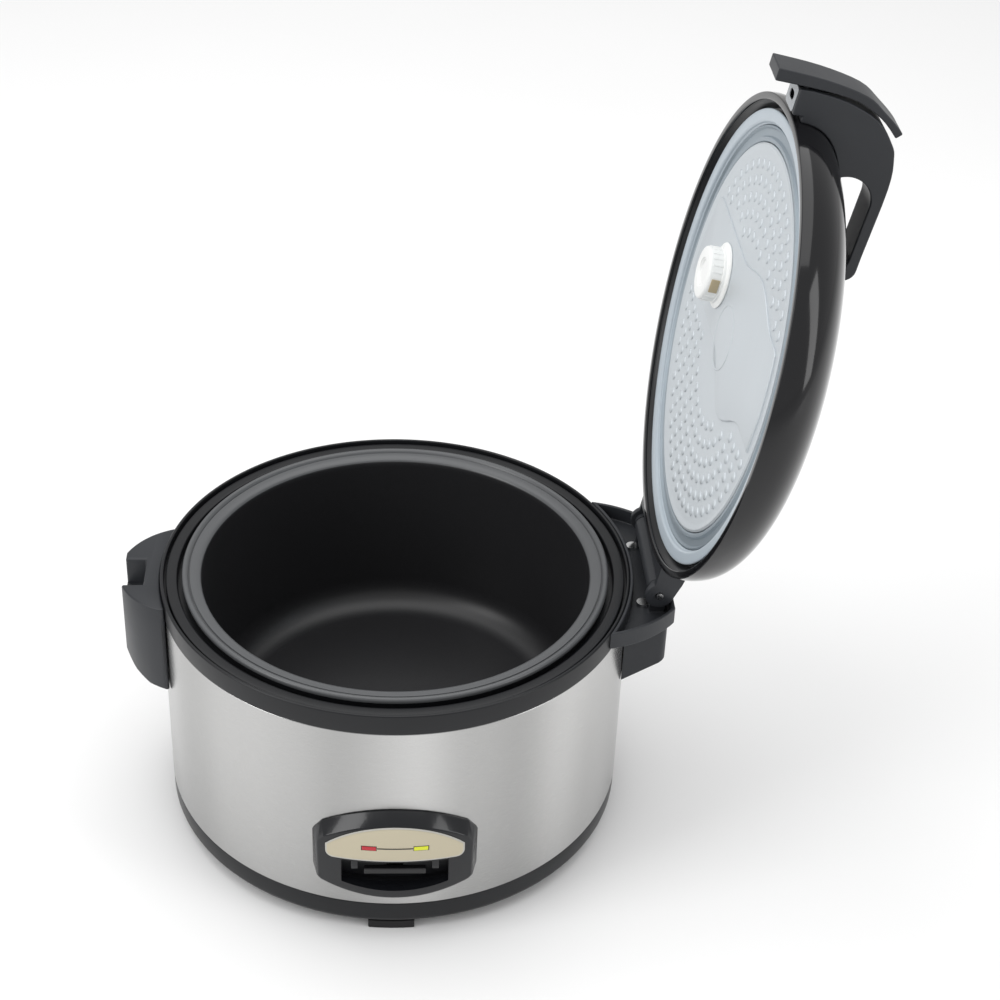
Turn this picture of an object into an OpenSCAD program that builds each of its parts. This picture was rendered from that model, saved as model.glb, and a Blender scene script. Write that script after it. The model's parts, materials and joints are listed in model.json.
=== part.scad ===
// Large electric rice cooker: steel drum body, lift-out pot and a lid that hinges at +X.
// Origin: centre of the feet on the table. +Z up, -Y front (control panel), -X latch side.

/* [Body] */
// Outer radius of the steel drum
body_r = 190; // [188:0.5:192]
// Height of the feet
foot_h = 8; // [6:1:10]
// Top of the black base band
base_top = 30.2; // [28:0.2:32]
// Top edge of the steel drum
drum_top = 206.2; // [205:0.2:207]
// Top edge of the black rim ring
rim_top = 223.8; // [223:0.2:224.6]

/* [Lid] */
// Height of the lid's lip plane when it is shut
lip_z = 222; // [221.8:0.1:222.4]
// Rise of the dome above the lip plane
dome_h = 60; // [56:1:64]
// Angle at which the open lid rests on its stop
open_angle = 101.5; // [98:0.5:104]
// Distance of the hinge axis from the body's axis
hinge_x = 208.4; // [208:0.1:209]
// Height of the hinge axis
hinge_z = 231.4; // [231:0.1:232]

/* [Pot] */
// Inner radius of the pot's mouth
pot_r = 157.4; // [154:0.2:158]
// Height of the pot's inner floor
pot_floor = 69.4; // [69:0.2:71]

/* [Panel] */
// Turn of the control panel away from the front
panel_turn = -1; // [-3:0.5:3]
// Radius of the panel's face
panel_r = 202; // [200:0.5:203]

/* [Hidden] */
$fn = 96;

black = [0.13, 0.13, 0.14];
grey = [0.27, 0.28, 0.29];
steel = [0.74, 0.74, 0.73];
alu = [0.80, 0.81, 0.82];
white = [0.93, 0.93, 0.90];

foot_turn = -1.8;
shell_t = 1;
lid_r = 187.6;
lip_r = 187;
lip_inner_r = 181.2;
dome_power = 2.9;
dome_t = 2.8;
valve_x = -25;
valve_y = 54.5;
valve_r = 21;
valve_h = -9.5;
hinge_pin_r = 3;
hinge_disc_r = 11.5;
ear_in = 44;
ear_out = 50;
arm_in = 50.4;
arm_out = 55;
hinge_h = hinge_z - lip_z;
handle_w = 31;
lever_w = 29;
lever_x = -206;
lever_h = 10;
lever_pin_r = 2;
handle_top = 218.5;
handle_r = 59.5;
handle_cx = 165;
tray_floor = 211.5;
screw_x = 198;
screw_y = 39;
switch_y = -176;
switch_z = 76;
switch_pin_r = 2;
bezel_w = 135;
lamp_z = 102.5;
lamp_x = 20;
inlet_z = 70;
pot_wall = 2;
pot_bottom = pot_floor - 3;
pot_fillet = 28;

// ---- helpers ----

// Points of an arc from angle a to angle b, in degrees
function arc(cx, cy, r, a, b, n = 10) = [for (i = [0:n]) let (t = a + (b - a) * i / n)
    [cx + r * cos(t), cy + r * sin(t)]];

// Smooth curve through all but the first and last of a list of points
function smooth(p, n = 4) = concat([for (i = [1:len(p) - 3]) for (k = [0:n - 1]) let (t = k / n)
    (2 * p[i] + (p[i + 1] - p[i - 1]) * t + (2 * p[i - 1] - 5 * p[i] + 4 * p[i + 1] - p[i + 2]) * t * t
    + (3 * p[i] - p[i - 1] - 3 * p[i + 1] + p[i + 2]) * t * t * t) / 2], [p[len(p) - 2]]);

// Quarter of a superellipse, from the rim (r, 0) to the crown (0, h)
function dome_curve(r, h, n = 22) = [for (i = [0:n]) let (t = 90 * i / n)
    [r * pow(cos(t), 2 / dome_power), h * pow(sin(t), 2 / dome_power)]];

module box(x0, x1, y0, y1, z0, z1) {
    translate([x0, y0, z0]) cube([x1 - x0, y1 - y0, z1 - z0]);
}

module tube(r_out, r_in, z0, z1) {
    translate([0, 0, z0]) difference() {
        cylinder(h = z1 - z0, r = r_out);
        translate([0, 0, -1]) cylinder(h = z1 - z0 + 2, r = r_in);
    }
}

// A slab of an outline drawn in X and Z, centred on the XZ plane
module slab_y(width) {
    rotate([90, 0, 0]) translate([0, 0, -width / 2]) linear_extrude(width) children();
}

// A cylinder along Y between two Y values
module rod_y(x, z, r, y0, y1) {
    translate([x, y0, z]) rotate([-90, 0, 0]) cylinder(h = y1 - y0, r = r);
}

// Swings pieces drawn on the shut lid, with their lip plane at z = 0, to the open rest pose
module on_lid() {
    translate([hinge_x, 0, hinge_z]) rotate([0, open_angle, 0])
        translate([-hinge_x, 0, -hinge_h]) children();
}

module ring_of(count, r, turn = 0) {
    for (i = [0:count - 1]) rotate([0, 0, turn + 360 * i / count]) translate([r, 0, 0]) children();
}

// ---- base ----

module base_pan() {
    color(black) difference() {
        rotate_extrude() polygon([[0, foot_h], [184, foot_h], [188, 10.5], [body_r - 0.4, 15],
            [body_r - 0.4, base_top], [188.4, base_top], [188.4, 38], [185.8, 38], [185.8, 15],
            [183, 11], [0, 11]]);
        ring_of(4, 150, 45 + foot_turn) translate([0, 0, 5]) cylinder(h = 9, r = 2.3);
        for (k = [-4:4]) box(k * 14 - 3, k * 14 + 3, -105, -55, 5, 14);
        for (k = [-4:4]) box(k * 14 - 3, k * 14 + 3, 55, 105, 5, 14);
    }
}

module foot(turn) {
    color(black) rotate([0, 0, turn + foot_turn]) intersection() {
        box(-18.5, 18.5, -188, -158, 0, foot_h - 0.02);
        translate([0, 0, -1]) cylinder(h = 20, r = 186.5);
    }
}

module base_screws() {
    color(steel) ring_of(4, 150, 45 + foot_turn) {
        translate([0, 0, 5.9]) cylinder(h = 2, r = 4);
        translate([0, 0, 7.9]) cylinder(h = 14, r = 2);
    }
}

module rating_plate() {
    color(alu) box(-35, 35, -20, 20, foot_h - 0.6, foot_h - 0.05);
}

// ---- drum ----

module outer_shell() {
    color(steel) difference() {
        tube(body_r, body_r - shell_t, base_top + 0.4, drum_top - 0.1);
        rotate([0, 0, panel_turn]) translate([0, -180, 0]) slab_y(40) pocket_outline(1.2);
        rotate([0, 0, panel_turn]) for (s = [-1, 1])
            box(s * lamp_x - 8, s * lamp_x + 8, -200, -170, lamp_z - 4, lamp_z + 4);
        box(-15.5, 15.5, 170, 200, inlet_z - 12.5, inlet_z + 12.5);
    }
}

module top_ring() {
    r = body_r + 0.3;
    color(black) rotate_extrude() polygon([[r, drum_top + 0.2], [r, rim_top - 1], [r - 1, rim_top],
        [r - 1.7, rim_top], [187.6, rim_top - 1], [187.6, 216.5], [185.6, 216.5], [185.6, lip_z - 0.6],
        [177.2, lip_z - 0.6], [176.4, 220.6], [176.4, 214], [170, 214], [170, 220.4], [163.5, 220.4],
        [163.5, 210], [186, 210], [186, 198], [188.6, 198], [188.6, drum_top + 0.2]]);
}

module pot_well() {
    color(alu) union() {
        tube(163.8, 163, 40, 209.9);
        tube(185.6, 163.4, 209.1, 209.9);
        tube(163.4, 96, 40, 41);
    }
}

module warm_heater() {
    color([0.72, 0.66, 0.52]) tube(165.4, 164.1, 110, 150);
}

// ---- heating ----

module heater_plate() {
    color(alu) difference() {
        union() {
            translate([0, 0, 50]) cylinder(h = 15.4, r = 94);
            translate([0, 0, 65.4]) cylinder(h = 0.6, r1 = 94, r2 = 88);
        }
        translate([0, 0, 40]) cylinder(h = 40, r = 21);
        translate([0, 0, 45]) tube(66.4, 57.6, 0, 10);
        ring_of(3, 82) translate([0, 0, 40]) cylinder(h = 18, r = 2.1);
    }
}

module heater_element() {
    color([0.45, 0.44, 0.42]) {
        rotate_extrude() translate([62, 50.4]) circle(r = 4, $fn = 32);
        for (s = [-1, 1]) translate([62, s * 9, 34]) cylinder(h = 14.5, r = 3);
    }
}

module plate_posts() {
    color(steel) ring_of(3, 82) {
        translate([0, 0, 11.1]) cylinder(h = 38.7, r = 4.5);
        translate([0, 0, 49.8]) cylinder(h = 7, r = 2);
    }
}

module thermostat_body() {
    color(steel) difference() {
        union() {
            translate([0, 0, 34]) cylinder(h = 18, r = 14);
            box(-30, 30, -6, 6, 34, 36);
        }
        translate([0, 0, 38]) cylinder(h = 20, r = 8);
    }
}

module thermostat_spring() {
    color(steel) tube(11, 9.5, 52.1, 61.8);
}

module thermostat_cap() {
    color(alu) union() {
        translate([0, 0, 62]) cylinder(h = 4.1, r = 19);
        translate([0, 0, 45]) cylinder(h = 17.5, r = 6);
    }
}

// ---- handles on the drum ----

// Plan of the latch handle, drawn on the +X side, with its outer face cut flat
module handle_plan() {
    difference() {
        intersection() {
            translate([handle_cx, 4]) circle(r = handle_r);
            translate([150, -120]) square([70, 240]);
        }
        circle(r = body_r + 0.5, $fn = 180);
    }
}

// Wedge that slopes the latch handle's underside up and outwards
module handle_undercut() {
    slab_y(260) polygon([[180, 100], [260, 100], [260, 169.5], [221, 155.5], [212, 144.5], [200, 138],
        [180, 136.5]]);
}

module latch_handle() {
    color(grey) mirror([1, 0, 0]) difference() {
        translate([0, 0, 131]) linear_extrude(handle_top - 131) handle_plan();
        handle_undercut();
        box(203, 230, -17, 17, 195, 230);
        box(198, 203.1, -9, 9, 195, 207);
    }
}

// Sprung steel strike in the notch, which the lid's hook snaps under
module latch_catch() {
    color(steel) slab_y(17) polygon([[-202.9, 195.2], [-202.9, 206.8], [-198.2, 206.8], [-198.2, 205.6],
        [-201.6, 205.6], [-201.6, 196.4], [-198.2, 196.4], [-198.2, 195.2]]);
}

module hinge_ear(y0, y1) {
    difference() {
        union() {
            rod_y(hinge_x, hinge_z, 8, y0, y1);
            box(hinge_x - 6.5, hinge_x + 6, y0, y1, 209.5, hinge_z);
        }
        rod_y(hinge_x, hinge_z, hinge_pin_r + 0.02, y0 - 1, y1 + 1);
    }
}

module hinge_housing() {
    color(grey) difference() {
        union() {
            translate([0, 0, 139]) linear_extrude(71) block_plan();
            difference() {
                translate([0, 0, 209]) linear_extrude(15) tray_plan(0);
                translate([0, 0, tray_floor]) linear_extrude(30) tray_plan(2.6);
            }
            hinge_ear(-ear_out, -ear_in);
            hinge_ear(ear_in, ear_out);
            difference() {
                rod_y(hinge_x, hinge_z, 8.6, -ear_in, ear_in);
                rod_y(hinge_x, hinge_z, 7, -ear_in, ear_in);
            }
        }
        slab_y(260) polygon([[180, 138.7], [226, 166.1], [226, 100], [180, 100]]);
        for (s = [-1, 1]) translate([screw_x, s * screw_y, 202]) cylinder(h = 20, r = 2.6);
    }
}

// Plan of the block that carries the hinge tray on the drum
module block_plan() {
    difference() {
        union() {
            translate([150, -50]) square([63, 100]);
            translate([150, -44]) square([69, 88]);
            for (s = [-1, 1]) translate([213, s * 44]) circle(r = 6);
        }
        circle(r = body_r + 0.5, $fn = 180);
    }
}

// Plan of the hinge tray, drawn in by an inset
module tray_plan(inset) {
    difference() {
        intersection() {
            translate([148, -2]) circle(r = 94 - inset);
            translate([150, -120]) square([71 - inset, 240]);
        }
        circle(r = body_r + 0.5 + inset, $fn = 180);
    }
}

module hinge_pin() {
    color(steel) rod_y(hinge_x, hinge_z, hinge_pin_r, -arm_out - 1.5, arm_out + 1.5);
}

module hinge_spring() {
    color(steel) difference() {
        rod_y(hinge_x, hinge_z, 6.2, -30, 30);
        rod_y(hinge_x, hinge_z, 4.6, -31, 31);
    }
}

module hinge_screws() {
    color(steel) for (s = [-1, 1]) translate([screw_x, s * screw_y, tray_floor + 0.05]) {
        cylinder(h = 2.6, r = 5);
        translate([0, 0, -8]) cylinder(h = 8.5, r = 2.2);
    }
}

// ---- control panel ----

// Face outline of the panel: arched top, curved bottom and cut corners
module bezel_outline() {
    w = bezel_w / 2;
    intersection() {
        translate([0, 24]) circle(r = 107.5, $fn = 200);
        translate([0, 195.8]) circle(r = 146.3, $fn = 200);
        polygon([[-w, 40], [-w, 103.5], [-60, 113.2], [-60, 150], [60, 150], [60, 113.2], [w, 103.5],
            [w, 40]]);
    }
}

// Outline of the switch pocket behind the face, grown for its window in the drum
module pocket_outline(grow = 0) {
    intersection() {
        translate([-44 - grow, 40]) square([88 + 2 * grow, 49 + grow]);
        translate([0, 195.8]) circle(r = 143.5 + grow, $fn = 200);
    }
}

module label_outline() {
    intersection() {
        translate([0, 48]) circle(r = 76, $fn = 160);
        union() {
            translate([-53.5, 95]) square([107, 60]);
            translate([-47.5, 89]) square([95, 60]);
            for (s = [-1, 1]) translate([s * 47.5, 95]) circle(r = 6);
        }
    }
}

// Sheet of an outline wrapped round the drum between two radii
module wrapped(r_in, r_out) {
    rotate([0, 0, panel_turn]) intersection() {
        translate([0, -150, 0]) slab_y(300) children();
        tube(r_out, r_in, 30, 160);
    }
}

module lamp_holes(grow) {
    rotate([0, 0, panel_turn]) for (s = [-1, 1])
        box(s * lamp_x - 5.5 - grow, s * lamp_x + 5.5 + grow, -230, -180, lamp_z - 1.8 - grow,
                lamp_z + 1.8 + grow);
}

module control_bezel() {
    color(black) difference() {
        union() {
            wrapped(body_r + 0.2, panel_r) bezel_outline();
            rotate([0, 0, panel_turn]) translate([0, -187.5, 0]) slab_y(7) pocket_outline();
        }
        rotate([0, 0, panel_turn]) difference() {
            box(-41.5, 41.5, -220, -186, 50, 87);
            translate([0, -150, 0]) slab_y(200) difference() {
                translate([-50, 40]) square([100, 30]);
                translate([0, 183.5]) circle(r = 126.5, $fn = 160);
            }
            for (s = [-1, 1]) box(s * 31.3 - 2.8, s * 31.3 + 2.8, -198, -180, 77, 90);
        }
        rotate([0, 0, panel_turn]) box(-6.5, 6.5, -192, -180, 66, 81);
        lamp_holes(0.3);
    }
}

module label_plate() {
    color([0.75, 0.70, 0.58]) difference() {
        wrapped(panel_r + 0.05, panel_r + 0.85) label_outline();
        lamp_holes(0.3);
    }
}

module lamp(side, tint) {
    color(tint) rotate([0, 0, panel_turn]) intersection() {
        box(side * lamp_x - 5.5, side * lamp_x + 5.5, -230, -192, lamp_z - 1.8, lamp_z + 1.8);
        translate([0, 0, 80]) cylinder(h = 40, r = panel_r + 1.5);
    }
}

module switch_bracket() {
    color(steel) rotate([0, 0, panel_turn]) {
        box(-11, 11, -169.4, -168, 40, 82);
        for (s = [-1, 1]) difference() {
            box(s * 10.1 - 0.9, s * 10.1 + 0.9, -181, -168, 66, 82);
            translate([-20, switch_y, switch_z]) rotate([0, 90, 0])
                cylinder(h = 40, r = switch_pin_r + 0.02);
        }
        box(-11, 11, -184, -169.4, 40, 41.4);
    }
}

module switch_pin() {
    color(steel) rotate([0, 0, panel_turn]) translate([-13, switch_y, switch_z])
        rotate([0, 90, 0]) cylinder(h = 26, r = switch_pin_r);
}

module micro_switch() {
    color(black) rotate([0, 0, panel_turn]) box(-9, 9, -182, -169.5, 44, 64);
}

module cook_lever() {
    color(black) rotate([0, 0, panel_turn]) difference() {
        union() {
            box(-24, 24, -200, -195, 73.5, 79);
            box(-5, 5, -196, switch_y, 74, 78);
            translate([-8, switch_y, switch_z]) rotate([0, 90, 0]) cylinder(h = 16, r = 4);
        }
        translate([-20, switch_y, switch_z]) rotate([0, 90, 0]) cylinder(h = 40, r = switch_pin_r + 0.06);
    }
}

// ---- electrics ----

module power_inlet() {
    color(black) difference() {
        union() {
            box(-14.5, 14.5, 172, 190, inlet_z - 11.5, inlet_z + 11.5);
            intersection() {
                box(-19, 19, 180, 200, inlet_z - 16, inlet_z + 16);
                tube(body_r + 2.4, body_r + 0.2, 40, 100);
            }
            intersection() {
                box(-14.5, 14.5, 180, 200, inlet_z - 11.5, inlet_z + 11.5);
                translate([0, 0, 40]) cylinder(h = 60, r = body_r + 2.4);
            }
        }
        box(-12.2, 12.2, 175, 200, inlet_z - 10, inlet_z + 10);
    }
}

module inlet_pins() {
    color(steel) for (p = [[-7, -2], [7, -2], [0, 3]])
        box(p[0] - 1, p[0] + 1, 175.05, 188, inlet_z + p[1] - 2, inlet_z + p[1] + 2);
}

module terminal_block() {
    color(white) box(-16, 16, 125, 142, 11.1, 24);
}

module thermal_fuse() {
    color(white) translate([40, 118, 18]) rotate([0, 90, 0]) cylinder(h = 30, r = 3.5);
    color(white) box(44, 66, 112, 124, 11.1, 14.6);
}

// ---- pot ----

module inner_pot() {
    ri = pot_r - 0.4;
    ro = ri + pot_wall;
    color([0.16, 0.16, 0.17]) rotate_extrude($fn = 160) polygon(concat(
        [[0, pot_bottom]],
        arc(ro - pot_fillet, pot_bottom + pot_fillet, pot_fillet, -90, 0, 12),
        [[ro, 220.7], [172, 220.7], [172.8, 222.5], [172.2, 224.6], [170.4, 225.6], [168.6, 224.6],
        [167.4, 223.7], [166, 224], [159.5, 222.6], [pot_r, 220.4], [ri, 216]],
        arc(ri - pot_fillet + 2, pot_floor + pot_fillet - 2, pot_fillet - 2, 0, -90, 12),
        [[0, pot_floor]]));
}

// ---- lid, drawn shut with its lip plane at z = 0 ----

module dome_solid(grow = 0) {
    rotate_extrude($fn = 160) polygon(concat([[0, -20], [lid_r + grow, -20]],
        dome_curve(lid_r + grow, dome_h + grow)));
}

module lid_shell() {
    color(black) on_lid() difference() {
        rotate_extrude($fn = 160) polygon(concat(
            [[lip_inner_r, 0], [lip_r - 0.6, 0], [lip_r, 0.6]],
            [for (p = dome_curve(lid_r, dome_h)) if (p[1] > 1.5) p],
            [for (i = [22:-1:0]) let (p = dome_curve(lid_r - dome_t, dome_h - dome_t)[i]) if (p[1] > 2.2) p],
            [[lid_r - dome_t, 2.1], [lip_inner_r, 2.1]]));
        translate([valve_x, valve_y, 40]) cylinder(h = 40, r = 12);
    }
}

module lid_liner() {
    color(black) on_lid() difference() {
        rotate_extrude() polygon([[0, 12], [176.8, 12], [180.9, 2.2], [184, 2.2], [184, 3.4], [182.2, 3.4],
            [178.2, 14.5], [0, 14.5]]);
        translate([valve_x, valve_y, 0]) cylinder(h = 40, r = valve_r + 0.5);
    }
}

module gasket_channel() {
    color([0.60, 0.65, 0.69]) on_lid() tube(163.5, 150.5, 8.6, 11.8);
}

module lid_gasket() {
    color([0.75, 0.80, 0.84]) on_lid() rotate_extrude() polygon([[163.8, 11.8], [163.8, 7.4], [168, 4.6],
        [174.8, 4.3], [175.4, 5.2], [170, 7], [170, 11.8]]);
}

module inner_lid_plate() {
    color(alu) on_lid() difference() {
        union() {
            translate([0, 0, 8.4]) cylinder(h = 1.2, r = 150);
            translate([0, 0, 7.2]) intersection() {
                cylinder(h = 1.3, r = 118);
                box(-118, 118, -36, 36, -1, 4);
            }
        }
        translate([valve_x, valve_y, 0]) cylinder(h = 40, r = valve_r + 0.5);
    }
}

module steam_valve() {
    color(white) on_lid() translate([valve_x, valve_y, 0]) difference() {
        union() {
            translate([0, 0, valve_h]) cylinder(h = 11.8 - valve_h, r = valve_r);
            translate([0, 0, 5.2]) cylinder(h = 1.4, r = valve_r + 5);
        }
        translate([0, 0, valve_h + 2.4]) cylinder(h = 40, r = valve_r - 2.4);
        box(-6, 6, -30, 0, valve_h + 4, valve_h + 10);
    }
}

module steam_cap() {
    color(black) on_lid() translate([valve_x, valve_y, 0]) difference() {
        translate([0, 0, dome_h - 2.9]) cylinder(h = 7, r1 = 14.5, r2 = 13);
        translate([-valve_x, -valve_y, 0]) dome_solid(0.1);
        for (k = [-1:1]) box(k * 6 - 1.2, k * 6 + 1.2, -8, 8, dome_h - 10, dome_h + 20);
    }
}

// Outer edge of the arched lid handle, from the latch foot over the grip to the crown end
handle_edge = concat([[-191.5, -2.5], [-210.8, -2.5]], smooth([[-211.2, -2.5], [-211.3, 7.4], [-208.6, 34.4],
    [-199.4, 60.2], [-184.6, 75.4], [-173.9, 80.8], [-150.5, 84.6], [-93.9, 83.6], [-80, 83]]),
    arc(-82, 74, 9.6, 90, 10, 5), [[-68, 58], [-68, 40], [-180, 5], [-191.5, 5]]);

module lid_handle() {
    color(grey) on_lid() difference() {
        slab_y(handle_w) polygon(handle_edge);
        dome_solid(0.1);
        slab_y(60) union() {
            polygon([[-140, 30], [-154, 55.5], [-134, 75.5], [-90, 75], [-80, 66], [-78, 40]]);
            translate([-134, 55.5]) circle(r = 20);
            translate([-90, 65]) circle(r = 10);
        }
        box(-215, -197.5, -8.6, 8.6, -6, 19);
        rod_y(lever_x, lever_h, lever_pin_r + 0.02, -14, 14);
    }
}

module lever_pin() {
    color(steel) on_lid() rod_y(lever_x, lever_h, lever_pin_r, -13.5, 13.5);
}

module release_lever() {
    color(grey) on_lid() difference() {
        union() {
            slab_y(lever_w) polygon(concat(
                smooth([[-223, -40], [-222.8, -22], [-221.2, 13.8], [-215.7, 46], [-206, 63.5],
                    [-193.2, 80.8], [-180, 90]]),
                smooth([[-180, 84], [-189, 76.6], [-201.2, 61.5], [-210.2, 40], [-212.9, 13], [-213.2, -22],
                    [-213.2, -40]])));
            slab_y(16) polygon([[-213.5, 4], [-213.5, 16], [-206, 14.5], [-201.5, 12], [-201.5, 8],
                [-206, 5.5]]);
            slab_y(14) polygon([[-213.5, -20], [-213.5, -13], [-210.5, -16], [-210.5, -20]]);
        }
        rod_y(lever_x, lever_h, lever_pin_r + 0.06, -14, 14);
    }
}

module hinge_arm() {
    h = hinge_h;
    color(grey) on_lid() difference() {
        union() {
            for (s = [-1, 1]) translate([0, s * (arm_in + arm_out) / 2, 0])
                    slab_y(arm_out - arm_in) union() {
                translate([hinge_x, h]) circle(r = hinge_disc_r);
                polygon([[175, 2.8], [200, 2.8], [hinge_x, h], [210, 20.8], [196, 24.5], [175, 28]]);
            }
            slab_y(2 * arm_out) polygon([[175, 24], [196, 22], [209.5, 18.6], [210, 20.8], [196, 24.5],
                [175, 28]]);
            slab_y(2 * arm_out) polygon([[175, 2.8], [194, 2.8], [194, 24], [175, 24]]);
        }
        dome_solid(0.1);
        rod_y(hinge_x, h, hinge_pin_r + 0.06, -arm_out - 1, arm_out + 1);
    }
}

module lid_screws() {
    color(steel) on_lid() ring_of(6, 120, 30) {
        translate([0, 0, 14.6]) cylinder(h = 2, r = 3.5);
    }
}

base_pan();
foot(0);  // foot_front
foot(90);  // foot_right
foot(180);  // foot_back
foot(270);  // foot_left
outer_shell();
top_ring();
pot_well();
heater_plate();
heater_element();
plate_posts();
warm_heater();
thermostat_body();
thermostat_spring();
thermostat_cap();
latch_handle();
latch_catch();
hinge_housing();
hinge_pin();
hinge_spring();
hinge_screws();
control_bezel();
label_plate();
lamp(-1, [0.6, 0.1, 0.12]);  // cook_lamp
lamp(1, [0.8, 0.8, 0.1]);  // warm_lamp
switch_bracket();
switch_pin();
micro_switch();
cook_lever();
power_inlet();
inlet_pins();
terminal_block();
thermal_fuse();
rating_plate();
base_screws();
inner_pot();
lid_shell();
lid_liner();
gasket_channel();
lid_gasket();
inner_lid_plate();
steam_valve();
steam_cap();
lid_handle();
hinge_arm();
lid_screws();
lever_pin();
release_lever();
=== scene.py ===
# %% [markdown]
# # A catering rice cooker with its lid open
# The working model already holds every moving part at its true place and size. This lesson
# dresses it: turned shells for everything round, rounded copies for the moulded parts, and
# one finish for each material that a cook would name.

# %% Load the frame
import bmesh
import bpy
import json
from math import asin, atan2, cos, hypot, pi, radians, sin
from mathutils import Matrix, Vector


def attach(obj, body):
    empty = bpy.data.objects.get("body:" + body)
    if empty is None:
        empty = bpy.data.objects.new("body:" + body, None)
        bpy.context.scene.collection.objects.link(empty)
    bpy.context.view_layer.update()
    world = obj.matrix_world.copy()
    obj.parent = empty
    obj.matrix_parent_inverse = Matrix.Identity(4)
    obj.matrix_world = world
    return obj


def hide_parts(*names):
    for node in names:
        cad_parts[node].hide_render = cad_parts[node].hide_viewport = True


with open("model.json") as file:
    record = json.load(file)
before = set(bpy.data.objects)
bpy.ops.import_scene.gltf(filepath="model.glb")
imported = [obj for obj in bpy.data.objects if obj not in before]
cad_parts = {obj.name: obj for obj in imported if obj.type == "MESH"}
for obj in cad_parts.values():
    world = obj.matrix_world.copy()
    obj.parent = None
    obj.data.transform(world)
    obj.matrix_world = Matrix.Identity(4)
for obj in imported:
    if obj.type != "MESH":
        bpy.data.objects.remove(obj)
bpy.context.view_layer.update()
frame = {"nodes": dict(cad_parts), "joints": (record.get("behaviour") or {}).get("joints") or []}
joints = {j["name"]: j for j in frame["joints"]}

# %% [markdown]
# ## Measures
# Sizes are in millimetres while a piece is being drawn and turn into metres at the end.
# The hinge comes from the frame. The lid is drawn shut, with its lip plane at height 0,
# and then swings to the open rest pose, so its round parts can be turned about a
# plain vertical axis.

# %% Driving sizes
MM = 0.001
DRUM_R = 190
BASE_TOP = 30.2
DRUM_TOP = 206.2
RIM_TOP = 223.8
LIP_Z = 222
POT_R = 157.4
POT_FLOOR = 69.4
PANEL_R = 202
PANEL_TURN = radians(-1)
DOME_R, DOME_H, DOME_T, DOME_POWER = 187.6, 60, 2.8, 2.9
VALVE = Vector((-25, 54.5, 0))
VALVE_R = 21
hinge_at = Vector(joints["lid_hinge"]["pos_m"]) / MM
open_angle = -radians(joints["lid_hinge"]["range_deg"][0])
LID_OPEN = (Matrix.Translation(hinge_at) @ Matrix.Rotation(open_angle, 4, "Y")
            @ Matrix.Translation(Vector((0, 0, LIP_Z)) - hinge_at))
PANEL_PLACE = Matrix.Rotation(PANEL_TURN, 4, "Z")
print("hinge at", [round(v, 1) for v in hinge_at], "mm")

# %% [markdown]
# ## The camera
# It stands straight in front, some three centimetres left of the middle, and looks down
# by about 34 degrees. A long lens keeps the drum's sides nearly upright.

# %% Camera
CAMERA_AT = Vector((-27.4, -1345.4, 1206.9)) * MM
PITCH, YAW, ROLL = radians(34.27), radians(-4.66), radians(2.39)
LENS, SENSOR = 73.62, 36
FARTHEST = 30


def set_camera():
    camera = bpy.data.objects.new("camera", bpy.data.cameras.new("camera"))
    bpy.context.scene.collection.objects.link(camera)
    camera.data.lens, camera.data.sensor_width = LENS, SENSOR
    camera.data.clip_end = FARTHEST
    aim = (Matrix.Rotation(YAW, 4, "Z") @ Matrix.Rotation(pi / 2 - PITCH, 4, "X")
           @ Matrix.Rotation(ROLL, 4, "Z"))
    camera.matrix_world = Matrix.Translation(CAMERA_AT) @ aim
    bpy.context.scene.camera = camera


set_camera()
print("camera at", [round(v, 3) for v in CAMERA_AT], "m")

# %% [markdown]
# ## Shader maths
# A small class wraps a socket, so that `1 - mask` or `mask * 0.3` adds its own Math
# nodes. Every other node comes from one method that takes the node's type, its settings
# and what its sockets hold. Sizes of a pattern are in millimetres here too.

# %% The finish kit
class Signal:
    """A shader value that works in ordinary arithmetic."""

    def __init__(self, finish, socket):
        self.finish, self.socket = finish, socket

    def maths(self, operation, first, second):
        return self.finish.node("ShaderNodeMath", {"operation": operation},
                                {0: first, 1: second})

    def __add__(self, other):
        return self.maths("ADD", self, other)

    def __sub__(self, other):
        return self.maths("SUBTRACT", self, other)

    def __rsub__(self, other):
        return self.maths("SUBTRACT", other, self)

    def __mul__(self, other):
        return self.maths("MULTIPLY", self, other)

    def __gt__(self, other):
        return self.maths("GREATER_THAN", self, other)

    __radd__, __rmul__ = __add__, __mul__


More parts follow.
